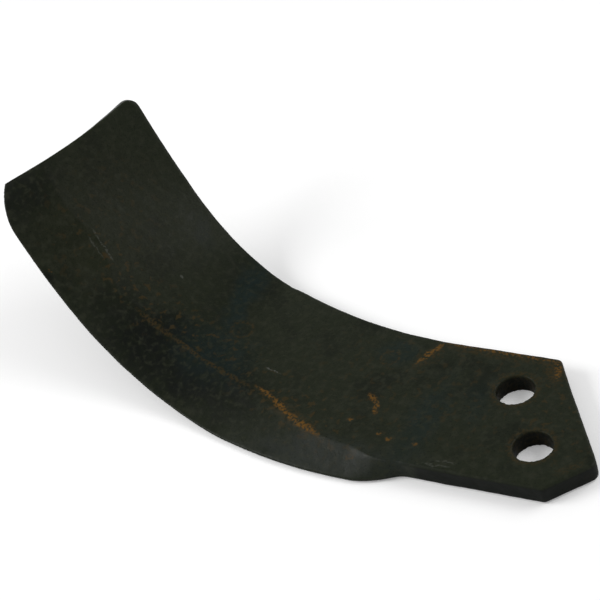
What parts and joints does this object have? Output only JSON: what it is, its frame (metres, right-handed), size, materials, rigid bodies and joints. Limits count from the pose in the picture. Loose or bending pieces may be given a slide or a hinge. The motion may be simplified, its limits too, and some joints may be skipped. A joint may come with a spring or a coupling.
{
  "type": "rotary tiller blade",
  "caption": "Bent rotary tiller blade, forged in one piece with a bevelled cutting edge, a turned-up scoop and a bolted shank.",
  "frame": {"origin": "halfway between the two bolt holes, in the top face of the shank", "axes": "+X along the shank, from the bent end towards the pointed end; +Z square to the shank, out of the top face, the side the scoop is bent towards; the concave edge of the shank faces +Y"},
  "size_m": [0.2937, 0.1341, 0.0824],
  "materials": {
    "forged_steel": "satin, dark olive-black quench scale with heat tint and spots of light rust"
  },
  "bodies": {
    "root": {"blade": "forged_steel"}
  },
  "joints": []
}
